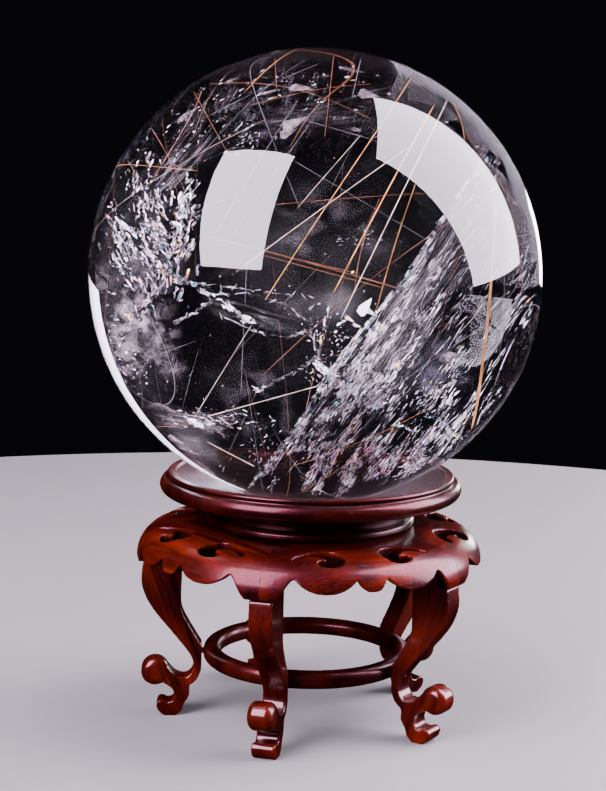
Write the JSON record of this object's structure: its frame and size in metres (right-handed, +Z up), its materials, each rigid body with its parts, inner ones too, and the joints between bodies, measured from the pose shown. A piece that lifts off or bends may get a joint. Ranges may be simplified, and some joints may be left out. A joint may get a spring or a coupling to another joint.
{
  "type": "crystal ball on a wooden stand",
  "caption": "Clear included quartz sphere resting in the turned dish of a carved, pierced and lacquered wooden stand with scrolled legs and a stretcher ring.",
  "frame": {"origin": "on the stand's turned axis, at the level of the feet", "axes": "+Z up along the turned axis; -Y towards leg 1"},
  "size_m": [0.1, 0.1, 0.1505],
  "materials": {
    "crystal": "polished clear quartz with mineral needles and veils inside",
    "lacquered_rosewood": "gloss lacquer over open-pored red wood",
    "dark_rosewood": "gloss lacquer over darker red wood",
    "raw_hardwood": "plain unlacquered dowel rod"
  },
  "bodies": {
    "stand": {"ball_seat": "dark_rosewood", "stretcher_ring": "dark_rosewood", "apron_segment_1": "lacquered_rosewood", "leg_1": "lacquered_rosewood", "leg_dowel_1": "raw_hardwood", "ring_peg_1": "raw_hardwood", "apron_segment_2": "lacquered_rosewood", "leg_2": "lacquered_rosewood", "leg_dowel_2": "raw_hardwood", "ring_peg_2": "raw_hardwood", "apron_segment_3": "lacquered_rosewood", "leg_3": "lacquered_rosewood", "leg_dowel_3": "raw_hardwood", "ring_peg_3": "raw_hardwood", "apron_segment_4": "lacquered_rosewood", "leg_4": "lacquered_rosewood", "leg_dowel_4": "raw_hardwood", "ring_peg_4": "raw_hardwood", "apron_segment_5": "lacquered_rosewood", "leg_5": "lacquered_rosewood", "leg_dowel_5": "raw_hardwood", "ring_peg_5": "raw_hardwood"},
    "ball": {"crystal_ball": "crystal"}
  },
  "joints": [
    {"name": "ball_lift", "type": "slide", "parent": "stand", "child": "ball", "axis": [0, 0, 1], "range_m": [0, 0.05]}
  ]
}
